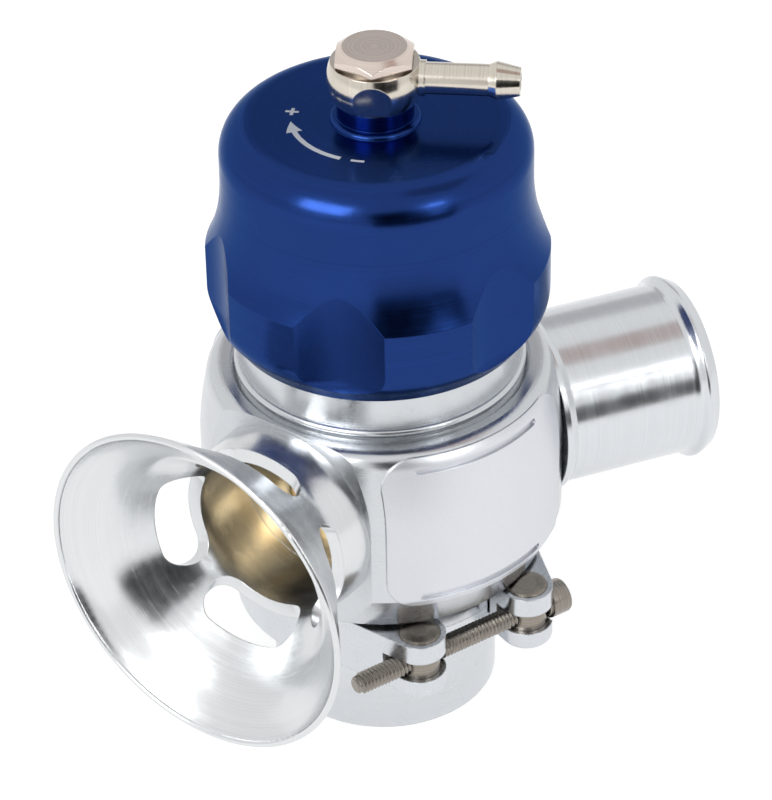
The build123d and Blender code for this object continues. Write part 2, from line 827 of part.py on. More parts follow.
def clamp_half(name, side, knuckles, reliefs):
    """One half of the band with its ear: side is 1 for the right half and -1 for the left."""
    slope = tan(radians(rim_slope))
    floor_radius = rim_radius + 2 * band_clearance
    flank_gap = band_clearance / cos(radians(rim_slope))
    lip_rise = rim_thickness + (rim_radius - band_lip_radius) * slope + flank_gap
    floor_rise = rim_thickness + (rim_radius - floor_radius) * slope + flank_gap
    flank = radians(ear_flank_angle)
    band_top = clamp_z + band_height
    wide = 2 * ear_distance
    with BuildPart() as ear:
        with BuildSketch(clamp_plane(clamp_z)):
            with Locations((ear_distance, side * ear_side)):
                Circle(ear_radius)
            with BuildLine():
                Polyline(
                    (band_lip_radius * cos(flank), side * band_lip_radius * sin(flank)),
                    (band_radius * cos(flank), side * band_radius * sin(flank)),
                    (band_radius - band_end / 4, side * band_end),
                    (band_lip_radius, side * band_end),
                    close=True,
                )
            make_hull()
        extrude(amount=band_height)
        low_edges = ear.faces().sort_by(Axis.Z)[0].outer_wire().edges()
        fillet(low_edges, radius=ear_round)
    with BuildPart() as half:
        with BuildSketch(Plane.XZ):
            with BuildLine():
                Polyline(
                    (0, clamp_z),
                    (band_radius - band_round, clamp_z),
                    (band_radius, clamp_z + band_round),
                    (band_radius, band_top - band_round),
                    (band_radius - band_round, band_top),
                    (0, band_top),
                    close=True,
                )
            make_face()
        revolve(axis=Axis.Z)
        add(ear.part)
        # The ends of the half at the opening and at the hinge
        for along, end in ((1, band_end), (-1, rear_end)):
            with BuildSketch(clamp_plane(clamp_z)):
                with Locations((along * wide / 2, side * (end - wide / 2))):
                    Rectangle(wide, wide)
            extrude(amount=band_height, mode=Mode.SUBTRACT)
        for low, high in knuckles:
            with BuildSketch(clamp_plane(clamp_z + low)):
                with Locations((-hinge_distance, 0)):
                    Circle(hinge_knuckle_radius)
                with BuildLine():
                    Polyline(
                        (-floor_radius, side * hinge_web_root),
                        (-floor_radius, side * hinge_web),
                        (-band_lip_radius, side * hinge_web),
                        close=True,
                    )
                make_hull()
            extrude(amount=high - low)
        for low, high in reliefs:
            with BuildSketch(clamp_plane(clamp_z + low)):
                with Locations((-hinge_distance, 0)):
                    Circle(hinge_knuckle_radius + hinge_gap)
            extrude(amount=high - low, mode=Mode.SUBTRACT)
        # Groove that draws the two rims together
        with BuildSketch(Plane.XZ):
            with BuildLine():
                Polyline(
                    (0, clamp_z),
                    (band_lip_radius, clamp_z),
                    (band_lip_radius, joint_z - lip_rise),
                    (floor_radius, joint_z - floor_rise),
                    (floor_radius, joint_z + floor_rise),
                    (band_lip_radius, joint_z + lip_rise),
                    (band_lip_radius, band_top),
                    (0, band_top),
                    close=True,
                )
            make_face()
        revolve(axis=Axis.Z, mode=Mode.SUBTRACT)
        with BuildSketch(clamp_plane(clamp_z)):
            with Locations((-hinge_distance, 0)):
                Circle(hinge_pin_radius + clamp_running)
            with Locations((ear_distance, side * ear_side)):
                Circle(trunnion_radius + clamp_running)
        extrude(amount=band_height, mode=Mode.SUBTRACT)
        # Slot for the screw, open to the outside, and room for its head
        with BuildSketch(clamp_plane(screw_z - screw_slot_half)):
            with Locations((ear_distance - screw_slot_depth + wide / 2, 0)):
                Rectangle(wide, 2 * wide)
        extrude(amount=2 * screw_slot_half, mode=Mode.SUBTRACT)
        if side > 0:
            with BuildSketch(facing_plane(clamp_angle + 90, ear_side + screw_flat - hinge_gap, screw_z)):
                with Locations((-ear_distance, 0)):
                    Circle(screw_head_radius + 3 * band_clearance)
            extrude(amount=ear_distance, mode=Mode.SUBTRACT)
    finish(half, name)


lower_low = band_height / 3 - hinge_gap / 2
lower_high = band_height / 3 + hinge_gap / 2
upper_low = 2 * band_height / 3 - hinge_gap / 2
upper_high = 2 * band_height / 3 + hinge_gap / 2
clamp_half("clamp_half_right", 1, [(lower_high, upper_low)], [(0, lower_high), (upper_low, band_height)])
clamp_half("clamp_half_left", -1, [(0, lower_low), (upper_high, band_height)], [(lower_low, upper_high)])

with BuildPart() as clamp_hinge_pin:
    with BuildSketch(clamp_plane(clamp_z - hinge_gap)):
        with Locations((-hinge_distance, 0)):
            Circle(hinge_pin_radius)
    extrude(amount=band_height + 2 * hinge_gap)
finish(clamp_hinge_pin, "clamp_hinge_pin")

for trunnion_name, trunnion_side in (("trunnion_threaded", -1), ("trunnion_plain", 1)):
    spot = direction(clamp_angle) * ear_distance + direction(clamp_angle + 90) * (trunnion_side * ear_side)
    with BuildPart() as trunnion:
        with BuildSketch(Plane.XY.offset(screw_z - trunnion_length / 2 - trunnion_dome)):
            with Locations(spot):
                Circle(trunnion_radius)
        extrude(amount=trunnion_length + 2 * trunnion_dome)
        ends = trunnion.edges().filter_by(GeomType.CIRCLE)
        chamfer(ends, length=trunnion_dome, length2=trunnion_radius / 2)
        with BuildSketch(facing_plane(clamp_angle + 90, 0, screw_z)):
            with Locations((-ear_distance, 0)):
                Circle(screw_slot_half)
        extrude(amount=2 * ear_side, both=True, mode=Mode.SUBTRACT)
        if trunnion_side > 0:
            with BuildSketch(facing_plane(clamp_angle + 90, ear_side + screw_flat, screw_z)):
                with Locations((-ear_distance, 0)):
                    Rectangle(2 * trunnion_radius, 2 * screw_face_radius + 4 * clamp_running)
            extrude(amount=trunnion_radius, mode=Mode.SUBTRACT)
    finish(trunnion, trunnion_name)

# Socket head screw with a washer face under its head
screw_origin = direction(clamp_angle) * ear_distance + Vector(0, 0, screw_z)
screw_dir = direction(clamp_angle + 90)
with BuildPart() as clamp_screw:
    with BuildSketch(Plane(origin=screw_origin, x_dir=screw_dir, z_dir=screw_dir.cross(Vector(0, 0, 1)))):
        with BuildLine():
            face_at = ear_side + screw_flat
            head_end = screw_head_start + screw_head_length
            edge = screw_head_radius / 8
            Polyline(
                (-screw_tip, 0),
                (-screw_tip, screw_radius - edge),
                (edge - screw_tip, screw_radius),
                (face_at, screw_radius),
                (face_at, screw_face_radius),
                (screw_head_start, screw_face_radius),
                (screw_head_start, screw_head_radius),
                (head_end - edge, screw_head_radius),
                (head_end, screw_head_radius - edge),
                (head_end, 0),
                close=True,
            )
        make_face()
    revolve(axis=Axis(screw_origin, screw_dir))
    with BuildSketch(Plane(origin=screw_origin + screw_dir * head_end, x_dir=(0, 0, 1), z_dir=screw_dir)):
        RegularPolygon(screw_socket_flats / 2, 6, major_radius=False)
    extrude(amount=-screw_socket_depth, mode=Mode.SUBTRACT)
finish(clamp_screw, "clamp_screw")
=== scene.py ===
"""Dresses a blow-off valve in its real finishes and sets it in a plain studio.

Lengths in the classes are millimetres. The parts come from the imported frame; the wound
spring and the threaded clamp screw are modelled here in place of their plain solids.
"""

import logging
import math
from dataclasses import dataclass, field, replace
from enum import Enum
from typing import Any, Sequence

import bpy
from mathutils import Matrix, Vector


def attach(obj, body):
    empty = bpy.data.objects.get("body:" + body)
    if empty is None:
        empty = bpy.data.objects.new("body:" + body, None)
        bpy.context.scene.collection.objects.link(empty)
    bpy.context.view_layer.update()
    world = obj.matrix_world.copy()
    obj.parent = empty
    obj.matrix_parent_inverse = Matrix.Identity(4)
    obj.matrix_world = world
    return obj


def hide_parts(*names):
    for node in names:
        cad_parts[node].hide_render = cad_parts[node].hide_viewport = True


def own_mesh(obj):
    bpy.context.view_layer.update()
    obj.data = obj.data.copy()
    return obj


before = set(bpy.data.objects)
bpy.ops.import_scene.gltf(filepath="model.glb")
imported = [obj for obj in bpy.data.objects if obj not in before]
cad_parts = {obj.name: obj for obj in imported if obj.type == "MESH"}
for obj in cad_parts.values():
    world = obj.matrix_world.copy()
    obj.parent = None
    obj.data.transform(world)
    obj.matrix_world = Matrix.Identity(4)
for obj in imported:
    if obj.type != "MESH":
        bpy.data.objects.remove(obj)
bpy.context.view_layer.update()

MM = 0.001
log = logging.getLogger("valve")


def linear(code: str) -> tuple[float, float, float, float]:
    """Turns an sRGB hex colour into linear light.

    Args:
        code: Six hex digits, with or without the hash.

    Returns:
        Red, green, blue and an alpha of one.
    """
    digits = code.lstrip("#")
    values = [int(digits[i : i + 2], 16) / 255 for i in (0, 2, 4)]
    light = [v / 12.92 if v <= 0.04045 else ((v + 0.055) / 1.055) ** 2.4 for v in values]
    return (light[0], light[1], light[2], 1.0)


def add_node(
    tree: bpy.types.NodeTree, kind: str, links: dict[Any, Any] | None = None, **settings: Any
) -> bpy.types.Node:
    """Adds one shader node with its settings, socket values and links.

    Args:
        tree: The node tree.
        kind: The node's type, such as Math.
        links: Input sockets by name or number, each with a value or an output socket.
        settings: Properties of the node.

    Returns:
        The new node.
    """
    made = tree.nodes.new("ShaderNode" + kind)
    for name, value in settings.items():
        setattr(made, name, value)
    for key, value in (links or {}).items():
        if isinstance(value, bpy.types.NodeSocket):
            tree.links.new(value, made.inputs[key])
        else:
            made.inputs[key].default_value = value
    return made


def new_material(name: str) -> tuple[bpy.types.Material, bpy.types.NodeTree]:
    """Makes a material with an empty node tree.

    Args:
        name: The finish's name.

    Returns:
        The material and its node tree.
    """
    made = bpy.data.materials.new(name)
    made.use_nodes = True
    made.node_tree.nodes.clear()
    return made, made.node_tree


class Turning(Enum):
    """The line that a piece was turned about: a point in millimetres and a direction."""

    BORE = ((0.0, 0.0, 0.0), (0.0, 0.0, 1.0))
    PIPE = ((0.0, 0.0, 55.1), (1.0, 0.0, 0.0))
    TRUMPET = ((0.0, 0.0, 55.1), (-0.84619, -0.53288, 0.0))
    STEM = ((0.0, 0.0, 135.45), (0.88701, -0.46175, 0.0))
    SCREW = ((6.4141, -30.1758, 27.1), (0.97815, 0.20791, 0.0))
    TRUNNION_LEFT = ((-5.8421, -32.7810, 0.0), (0.0, 0.0, 1.0))
    TRUNNION_RIGHT = ((18.6703, -27.5707, 0.0), (0.0, 0.0, 1.0))


@dataclass
class Layers:
    """The sockets that a metal's shader reads, from the base coat up."""

    tone: bpy.types.NodeSocket
    rough: bpy.types.NodeSocket
    height: bpy.types.NodeSocket


@dataclass(frozen=True)
class TurnedMetal:
    """A metal surface with the fine rings that a lathe tool leaves.

    The rings are a little duller and rougher than the ground between them, so a highlight
    spreads across them and stays narrow along them. They are drawn several times as coarse
    as the real feed of about 0.05 mm, because finer ones would not show.
    """

    name: str
    colour: str
    dark: str
    roughness: float
    spread: float
    ring_mm: float
    ring_height_mm: float
    turning: Turning
    edge_mm: float = 0.25
    grooves: float = 0.5
    coat: float = 0.0
    grazing: str = "#FFFFFF"
    stain: float = 0.0
    stain_mm: float = 4.0
    tone_span: tuple[float, float] = (0.15, 0.85)
    rough_span: tuple[float, float] = (0.7, 1.3)
    coat_rough: float = 0.12
    quarter_turn: float = 0.25

    def material(self) -> bpy.types.Material:
        """Builds the material.

        Returns:
            The finished material.
        """
        made, tree = new_material(self.name)
        origin, along = self.turning.value
        place = add_node(tree, "TexCoord").outputs["Object"]
        local = add_node(
            tree, "VectorMath", {0: place, 1: tuple(v * MM for v in origin)}, operation="SUBTRACT"
        )
        depth = add_node(tree, "VectorMath", {0: local.outputs[0], 1: along}, operation="DOT_PRODUCT")
        around = add_node(tree, "VectorMath", {0: along, 1: local.outputs[0]}, operation="CROSS_PRODUCT")
        away = add_node(tree, "VectorMath", {0: around.outputs[0]}, operation="LENGTH")
        track = add_node(tree, "CombineXYZ", {"X": depth.outputs["Value"], "Y": away.outputs["Value"]})
        rings = add_node(
            tree,
            "TexNoise",
            {
                "Vector": track.outputs[0],
                "Scale": 1 / (self.ring_mm * MM),
                "Detail": 3.0,
                "Roughness": 0.65,
            },
            noise_dimensions="2D",
        )
        cloud = add_node(
            tree, "TexNoise", {"Vector": place, "Scale": 1 / (self.stain_mm * MM), "Detail": 3.0}
        )
        blend = add_node(tree, "Mix", {0: self.stain, 2: rings.outputs[0], 3: cloud.outputs[0]})
        share = add_node(
            tree,
            "MapRange",
            {"Value": blend.outputs[0], "From Min": self.tone_span[0], "From Max": self.tone_span[1]},
        )
        tone = add_node(
            tree,
            "Mix",
            {0: share.outputs[0], 6: linear(self.dark), 7: linear(self.colour)},
            data_type="RGBA",
        )
        mixed = add_node(tree, "Math", {0: rings.outputs[0], 1: cloud.outputs[0]}, operation="ADD")
        span = {"From Min": self.rough_span[0], "From Max": self.rough_span[1]}
        level = {"To Min": self.roughness - self.spread, "To Max": self.roughness + self.spread}
        rough = add_node(tree, "MapRange", {"Value": mixed.outputs[0], **span, **level})
        layers = self.details(tree, place, Layers(tone.outputs[2], rough.outputs[0], rings.outputs[0]))
        edge = add_node(tree, "Bevel", {"Radius": self.edge_mm * MM}, samples=4)
        bump = add_node(
            tree,
            "Bump",
            {
                "Strength": 1.0,
                "Distance": self.ring_height_mm * MM,
                "Height": layers.height,
                "Normal": edge.outputs[0],
            },
        )
        unit = add_node(tree, "VectorMath", {0: around.outputs[0]}, operation="NORMALIZE")
        groove = add_node(
            tree,
            "VectorTransform",
            {0: unit.outputs[0]},
            vector_type="VECTOR",
            convert_from="OBJECT",
            convert_to="WORLD",
        )
        inputs = {
            "Base Color": layers.tone,
            "Metallic": 1.0,
            "Roughness": layers.rough,
            "Anisotropic": self.grooves,
            "Anisotropic Rotation": self.quarter_turn,
            "Tangent": groove.outputs[0],
            "Coat Weight": self.coat,
            "Coat Roughness": self.coat_rough,
            "Specular Tint": linear(self.grazing),
            "Normal": bump.outputs[0],
        }
        shader = add_node(tree, "BsdfPrincipled", inputs)
        add_node(tree, "OutputMaterial", {"Surface": shader.outputs[0]})
        return made

    def details(self, tree: bpy.types.NodeTree, place: bpy.types.NodeSocket, layers: Layers) -> Layers:
        """Leaves the turned surface as it is."""
        return layers


@dataclass(frozen=True)
class BlastedPadMetal(TurnedMetal):
    """The body's satin metal, with the two raised pads blasted matt by fine glass beads."""

    pad_azimuth: float = 286.1
    pad_half_width: float = 20.9
    pad_half_height: float = 16.5
    pad_level: float = 57.15
    pad_corner: float = 6.0
    pad_reach: float = 30.0
    blasted: str = "#DBDDE2"
    blasted_dark: str = "#CDCFD4"
    blasted_rough: float = 0.42
    grit_mm: float = 0.22
    pit_depth: float = 5.0

    def details(self, tree: bpy.types.NodeTree, place: bpy.types.NodeSocket, layers: Layers) -> Layers:
        """Lays the matt pads over the turned surface.

        Args:
            tree: The material's node tree.
            place: The Object coordinates.
            layers: The turned surface.

        Returns:
            The surface with its pads.
        """
        side = math.radians(self.pad_azimuth + 90)
        across = add_node(
            tree,
            "VectorMath",
            {0: place, 1: (math.cos(side), math.sin(side), 0)},
            operation="DOT_PRODUCT",
        )
        level = add_node(tree, "SeparateXYZ", {0: place})
        height = add_node(
            tree, "Math", {0: level.outputs["Z"], 1: self.pad_level * MM}, operation="SUBTRACT"
        )
        flat = add_node(tree, "CombineXYZ", {"X": across.outputs["Value"], "Y": height.outputs[0]})
        fold = add_node(tree, "VectorMath", {0: flat.outputs[0]}, operation="ABSOLUTE")
        straight = (
            (self.pad_half_width - self.pad_corner) * MM, (self.pad_half_height - self.pad_corner) * MM, 0
        )
        past = add_node(tree, "VectorMath", {0: fold.outputs[0], 1: straight}, operation="SUBTRACT")
        corner = add_node(tree, "VectorMath", {0: past.outputs[0], 1: (0, 0, 0)}, operation="MAXIMUM")
        far = add_node(tree, "VectorMath", {0: corner.outputs[0]}, operation="LENGTH")
        within = add_node(
            tree, "Math", {0: far.outputs["Value"], 1: self.pad_corner * MM}, operation="LESS_THAN"
        )
        plan = add_node(tree, "VectorMath", {0: place, 1: (1, 1, 0)}, operation="MULTIPLY")
        away = add_node(tree, "VectorMath", {0: plan.outputs[0]}, operation="LENGTH")
        proud = add_node(
            tree, "Math", {0: away.outputs["Value"], 1: self.pad_reach * MM}, operation="GREATER_THAN"
        )
        pad = add_node(tree, "Math", {0: within.outputs[0], 1: proud.outputs[0]}, operation="MULTIPLY")
        grit = add_node(
            tree, "TexNoise", {"Vector": place, "Scale": 1 / (self.grit_mm * MM), "Detail": 2.0}
        )
        matt = add_node(
            tree,
            "Mix",
            {0: grit.outputs[0], 6: linear(self.blasted_dark), 7: linear(self.blasted)},
            data_type="RGBA",
        )
        tone = add_node(
            tree, "Mix", {0: pad.outputs[0], 6: layers.tone, 7: matt.outputs[2]}, data_type="RGBA"
        )
        rough = add_node(tree, "Mix", {0: pad.outputs[0], 2: layers.rough, 3: self.blasted_rough})
        pits = add_node(tree, "Math", {0: grit.outputs[0], 1: self.pit_depth}, operation="MULTIPLY")
        bumps = add_node(tree, "Mix", {0: pad.outputs[0], 2: layers.height, 3: pits.outputs[0]})
        return Layers(tone.outputs[2], rough.outputs[0], bumps.outputs[0])


@dataclass(frozen=True)
class MarkedCapMetal(TurnedMetal):
    """The cap's dyed metal, with milled finger scallops and a plain laser mark on its top.

    The mark is a curved arrow between a plus and a minus sign, for the way to turn the cap.
    """

    scallops: int = 6
    scallop_azimuth: float = 235.0
    scallop_centre: float = 59.2
    scallop_reach: float = 29.5
    streak_mm: float = 0.3
    streak_length: float = 0.06
    streak_depth: float = 4.0
    mark_colour: str = "#C6CAD1"
    mark_rough: float = 0.55
    mark_radius: float = 15.4
    mark_level: float = 126.9
    arrow_tip: float = -18.0
    arrow_base: float = -4.0
    arrow_half: float = 1.5
    # The arrow's shaft, the two strokes of the plus and the minus: half width, place in
    # degrees round the top and half length in degrees.
    bars: tuple[tuple[float, float, float], ...] = (
        (0.5, 20.0, 24.0),
        (0.32, -31.0, 4.6),
        (1.25, -31.0, 1.2),
        (0.32, 56.0, 4.6),
    )

    def details(self, tree: bpy.types.NodeTree, place: bpy.types.NodeSocket, layers: Layers) -> Layers:
        """Mills the scallops and burns the mark.

        Args:
            tree: The material's node tree.
            place: The Object coordinates.
            layers: The turned surface.

        Returns:
            The surface with its streaks and mark.
        """
        parts = add_node(tree, "SeparateXYZ", {0: place})
        plan = add_node(tree, "VectorMath", {0: place, 1: (-1, -1, 0)}, operation="MULTIPLY")
        back = add_node(tree, "SeparateXYZ", {0: plan.outputs[0]})
        away = add_node(tree, "VectorMath", {0: plan.outputs[0]}, operation="LENGTH").outputs["Value"]
        turn = add_node(
            tree, "Math", {0: back.outputs["Y"], 1: back.outputs["X"]}, operation="ARCTAN2"
        ).outputs[0]
        scallop, streaks = self.milled(tree, turn, away, parts.outputs["Z"])
        height = add_node(tree, "Mix", {0: scallop, 2: layers.height, 3: streaks}).outputs[0]
        mark = self.mark(tree, turn, away, parts.outputs["Z"])
        tone = add_node(
            tree, "Mix", {0: mark, 6: layers.tone, 7: linear(self.mark_colour)}, data_type="RGBA"
        ).outputs[2]
        rough = add_node(tree, "Mix", {0: mark, 2: layers.rough, 3: self.mark_rough}).outputs[0]
        return Layers(tone, rough, height)

    def milled(
        self,
        tree: bpy.types.NodeTree,
        turn: bpy.types.NodeSocket,
        away: bpy.types.NodeSocket,
        level: bpy.types.NodeSocket,
    ) -> tuple[bpy.types.NodeSocket, bpy.types.NodeSocket]:
        """Finds the scallops and draws the upright streaks that the milling cutter left.

        Args:
            tree: The material's node tree.
            turn: The angle about the bore, with zero at the left.
            away: The distance from the bore's line.
            level: The height.

        Returns:
            One within a scallop and zero elsewhere, and the height of the streaks.
        """
        step = math.tau / self.scallops
        start = math.radians(self.scallop_azimuth - 180) - step / 2
        shifted = add_node(tree, "Math", {0: turn, 1: start}, operation="SUBTRACT")
        folded = add_node(tree, "Math", {0: shifted.outputs[0], 1: step}, operation="FLOORED_MODULO")
        angle = add_node(
            tree, "Math", {0: folded.outputs[0], 1: step / 2}, operation="SUBTRACT"
        ).outputs[0]
        cosine = add_node(tree, "Math", {0: angle}, operation="COSINE")
        sine = add_node(tree, "Math", {0: angle}, operation="SINE")
        out = add_node(tree, "Math", {0: cosine.outputs[0], 1: away}, operation="MULTIPLY")
        side = add_node(tree, "Math", {0: sine.outputs[0], 1: away}, operation="MULTIPLY").outputs[0]
        spot = add_node(tree, "CombineXYZ", {"X": out.outputs[0], "Y": side})
        gap = add_node(
            tree,
            "VectorMath",
            {0: spot.outputs[0], 1: (self.scallop_centre * MM, 0, 0)},
            operation="DISTANCE",
        )
        inside = add_node(
            tree, "Math", {0: gap.outputs["Value"], 1: self.scallop_reach * MM}, operation="LESS_THAN"
        )
        upright = add_node(tree, "Math", {0: level, 1: self.streak_length}, operation="MULTIPLY")
        track = add_node(tree, "CombineXYZ", {"X": side, "Y": upright.outputs[0]})
        streaks = add_node(
            tree,
            "TexNoise",
            {"Vector": track.outputs[0], "Scale": 1 / (self.streak_mm * MM), "Detail": 2.0},
            noise_dimensions="2D",
        )
        deep = add_node(tree, "Math", {0: streaks.outputs[0], 1: self.streak_depth}, operation="MULTIPLY")
        return inside.outputs[0], deep.outputs[0]

    def mark(
        self,
        tree: bpy.types.NodeTree,
        turn: bpy.types.NodeSocket,
        away: bpy.types.NodeSocket,
        level: bpy.types.NodeSocket,
    ) -> bpy.types.NodeSocket:
        """Draws the arrow and the two signs.

        Args:
            tree: The material's node tree.
            turn: The angle about the bore, with zero at the left.
            away: The distance from the bore's line.
            level: The height.

        Returns:
            One on the mark and zero elsewhere.
        """
        circle = self.mark_radius * MM
        off = add_node(tree, "Math", {0: away, 1: circle}, operation="SUBTRACT")
        width = add_node(tree, "Math", {0: off.outputs[0]}, operation="ABSOLUTE").outputs[0]
        tip, base = math.radians(self.arrow_tip), math.radians(self.arrow_base)
        taper = add_node(
            tree,
            "MapRange",
            {"Value": turn, "From Min": tip, "From Max": base, "To Max": self.arrow_half * MM},
        )
        slim = add_node(tree, "Math", {0: width, 1: taper.outputs[0]}, operation="LESS_THAN")
        ahead = add_node(tree, "Math", {0: turn, 1: base}, operation="LESS_THAN")
        total = add_node(
            tree, "Math", {0: slim.outputs[0], 1: ahead.outputs[0]}, operation="MULTIPLY"
        ).outputs[0]
        for half_width, middle, half_angle in self.bars:
            across = add_node(tree, "Math", {0: away, 1: circle, 2: half_width * MM}, operation="COMPARE")
            along = add_node(
                tree,
                "Math",
                {0: turn, 1: math.radians(middle), 2: math.radians(half_angle)},
                operation="COMPARE",
            )
            bar = add_node(
                tree, "Math", {0: across.outputs[0], 1: along.outputs[0]}, operation="MULTIPLY"
            )
            total = add_node(tree, "Math", {0: total, 1: bar.outputs[0]}, operation="MAXIMUM").outputs[0]
        top = add_node(tree, "Math", {0: level, 1: self.mark_level * MM}, operation="GREATER_THAN")
        return add_node(tree, "Math", {0: total, 1: top.outputs[0]}, operation="MULTIPLY").outputs[0]


@dataclass(frozen=True)
class GrainedSurface:
    """A rubber, plastic or drawn metal surface with a little grain."""

    name: str
    colour: str
    dark: str
    roughness: float
    metallic: float = 0.0
    grain_mm: float = 0.4
    grain_height_mm: float = 0.004
    grain_span: tuple[float, float] = (0.3, 0.7)
    rough_share: float = 0.15

    def material(self) -> bpy.types.Material:
        """Builds the material.

        Returns:
            The finished material.
        """
        made, tree = new_material(self.name)
        place = add_node(tree, "TexCoord").outputs["Object"]
        grain = add_node(
            tree, "TexNoise", {"Vector": place, "Scale": 1 / (self.grain_mm * MM), "Detail": 3.0}
        )
        tone = add_node(
            tree,
            "Mix",
            {0: grain.outputs[0], 6: linear(self.dark), 7: linear(self.colour)},
            data_type="RGBA",
        )
        span = {"From Min": self.grain_span[0], "From Max": self.grain_span[1]}
        low, high = self.roughness * (1 - self.rough_share), self.roughness * (1 + self.rough_share)
        rough = add_node(
            tree, "MapRange", {"Value": grain.outputs[0], **span, "To Min": low, "To Max": high}
        )
        bump = add_node(
            tree,
            "Bump",
            {"Strength": 1.0, "Distance": self.grain_height_mm * MM, "Height": grain.outputs[0]},
        )
        inputs = {
            "Base Color": tone.outputs[2],
            "Metallic": self.metallic,
            "Roughness": rough.outputs[0],
            "Normal": bump.outputs[0],
        }
        shader = add_node(tree, "BsdfPrincipled", inputs)
        add_node(tree, "OutputMaterial", {"Surface": shader.outputs[0]})
        return made


def dress(finish: TurnedMetal | GrainedSurface, *nodes: str) -> bpy.types.Material:
    """Puts one finish on nodes of the frame.

    Args:
        finish: The finish.
        nodes: The nodes' names.

    Returns:
        The finish's material.
    """
    made = finish.material()
    for name in nodes:
        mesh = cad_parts[name].data
        mesh.materials.clear()
        mesh.materials.append(made)
        log.info("%s: %s", name, finish.name)
    return made


def clear_selection() -> None:
    """Leaves edit mode and deselects everything."""
    if bpy.context.object and bpy.context.object.mode != "OBJECT":
        bpy.ops.object.mode_set(mode="OBJECT")
    bpy.ops.object.select_all(action="DESELECT")


def choose(*pieces: bpy.types.Object) -> None:
    """Selects only these pieces and makes the first one active.

    Args:
        pieces: The pieces.
    """
    clear_selection()
    for piece in pieces:
        piece.select_set(True)
    bpy.context.view_layer.objects.active = pieces[0]


def settle(piece: bpy.types.Object) -> None:
    """Moves the piece's place into its mesh, so that the object stands at the origin."""
    choose(piece)
    bpy.ops.object.transform_apply(location=True, rotation=True, scale=True)


def edit_all(piece: bpy.types.Object) -> None:
    """Opens a piece in edit mode with everything selected.

    Args:
        piece: The piece.
    """
    choose(piece)
    bpy.ops.object.mode_set(mode="EDIT")
    bpy.ops.mesh.select_all(action="SELECT")


def join(*pieces: bpy.types.Object) -> bpy.types.Object:
    """Makes several pieces one mesh.

    Args:
        pieces: The pieces, the one that stays first.

    Returns:
        The first piece, with the others' faces.
    """
    choose(*pieces)
    bpy.ops.object.join()
    return pieces[0]


def apply_modifier(piece: bpy.types.Object, kind: str, **settings: Any) -> None:
    """Adds a modifier with its settings and applies it.

    Args:
        piece: The piece.
        kind: The modifier's type.
        settings: The modifier's properties.
    """
    choose(piece)
    made = piece.modifiers.new(kind.lower(), kind)
    for name, value in settings.items():
        setattr(made, name, value)
    bpy.ops.object.modifier_apply(modifier=made.name)


def mend_surface(piece: bpy.types.Object, merge_mm: float = 0.001) -> None:
    """Merges doubles and points the faces outwards.

    Args:
        piece: The piece.
        merge_mm: How close doubles lie.
    """
    edit_all(piece)
    bpy.ops.mesh.remove_doubles(threshold=merge_mm * MM)
    bpy.ops.mesh.normals_make_consistent(inside=False)
    bpy.ops.object.mode_set(mode="OBJECT")


def trace_outline(name: str, outline: Sequence[tuple[float, float]]) -> bpy.types.Object:
    """Draws a half outline, point by point, from a plane merged to its first point.

    Args:
        name: The piece's name.
        outline: Points as distance from the vertical axis and height, in millimetres.

    Returns:
        The chain of edges.
    """
    (first, level), rest = outline[0], outline[1:]
    clear_selection()
    bpy.ops.mesh.primitive_plane_add(size=MM, location=(first * MM, 0, level * MM))
    piece = bpy.context.active_object
    piece.name = name
    settle(piece)
    edit_all(piece)
    bpy.ops.mesh.merge(type="CENTER")
    before = (first, level)
    for point in rest:
        step = ((point[0] - before[0]) * MM, 0, (point[1] - before[1]) * MM)
        bpy.ops.mesh.extrude_vertices_move(TRANSFORM_OT_translate={"value": step})
        before = point
    bpy.ops.object.mode_set(mode="OBJECT")
    return piece


def lathe(name: str, outline: Sequence[tuple[float, float]], steps: int) -> bpy.types.Object:
    """Spins a half outline about the vertical axis through the origin.

    Args:
        name: The piece's name.
        outline: Points as distance from the axis and height, in millimetres.
        steps: Divisions of the full turn.

    Returns:
        The closed, turned piece.
    """
    piece = trace_outline(name, outline)
    edit_all(piece)
    bpy.ops.mesh.spin(steps=steps, angle=math.tau, center=(0, 0, 0), axis=(0, 0, 1))
    bpy.ops.object.mode_set(mode="OBJECT")
    mend_surface(piece)
    return piece


def finish_piece(
    piece: bpy.types.Object,
    name: str,
    body: str,
    finish: bpy.types.Material,
    smooth: float = 35.0,
) -> None:
    """Names, smooths, dresses and mounts a finished piece.

    Args:
        piece: The piece.
        name: Its name.
        body: The body that it rides on.
        finish: Its material.
        smooth: The largest angle between faces that is shaded as one surface.
    """
    settle(piece)
    piece.name = name
    piece.data.name = name
    piece.data.materials.clear()
    piece.data.materials.append(finish)
    choose(piece)
    bpy.ops.object.shade_smooth_by_angle(angle=math.radians(smooth))
    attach(piece, body)
    log.info("%s: %d faces, rides on %s", name, len(piece.data.polygons), body)


